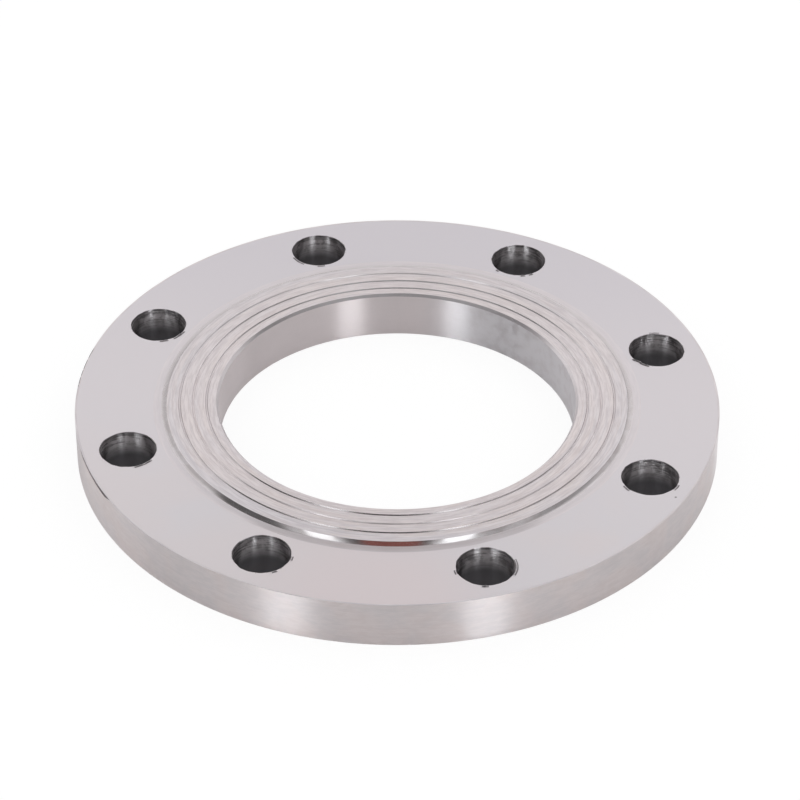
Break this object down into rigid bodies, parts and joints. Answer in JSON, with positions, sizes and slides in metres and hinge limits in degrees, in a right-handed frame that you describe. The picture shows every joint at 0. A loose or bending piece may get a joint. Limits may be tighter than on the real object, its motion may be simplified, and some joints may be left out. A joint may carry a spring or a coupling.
{
  "type": "plate flange",
  "caption": "Flat ring flange with a low grooved sealing face, a plain bore for a welded-in pipe and a circle of bolt holes round the rim.",
  "frame": {"origin": "centre of the back face, on the bore's axis", "axes": "+Z along the bore's axis, out of the raised sealing face; the bolt holes lie astride +X and +Y"},
  "size_m": [0.209, 0.209, 0.0164],
  "materials": {
    "machined_steel": "fine-turned bright stainless steel, with dark drilled walls in the bolt holes"
  },
  "bodies": {
    "root": {"flange": "machined_steel"}
  },
  "joints": []
}
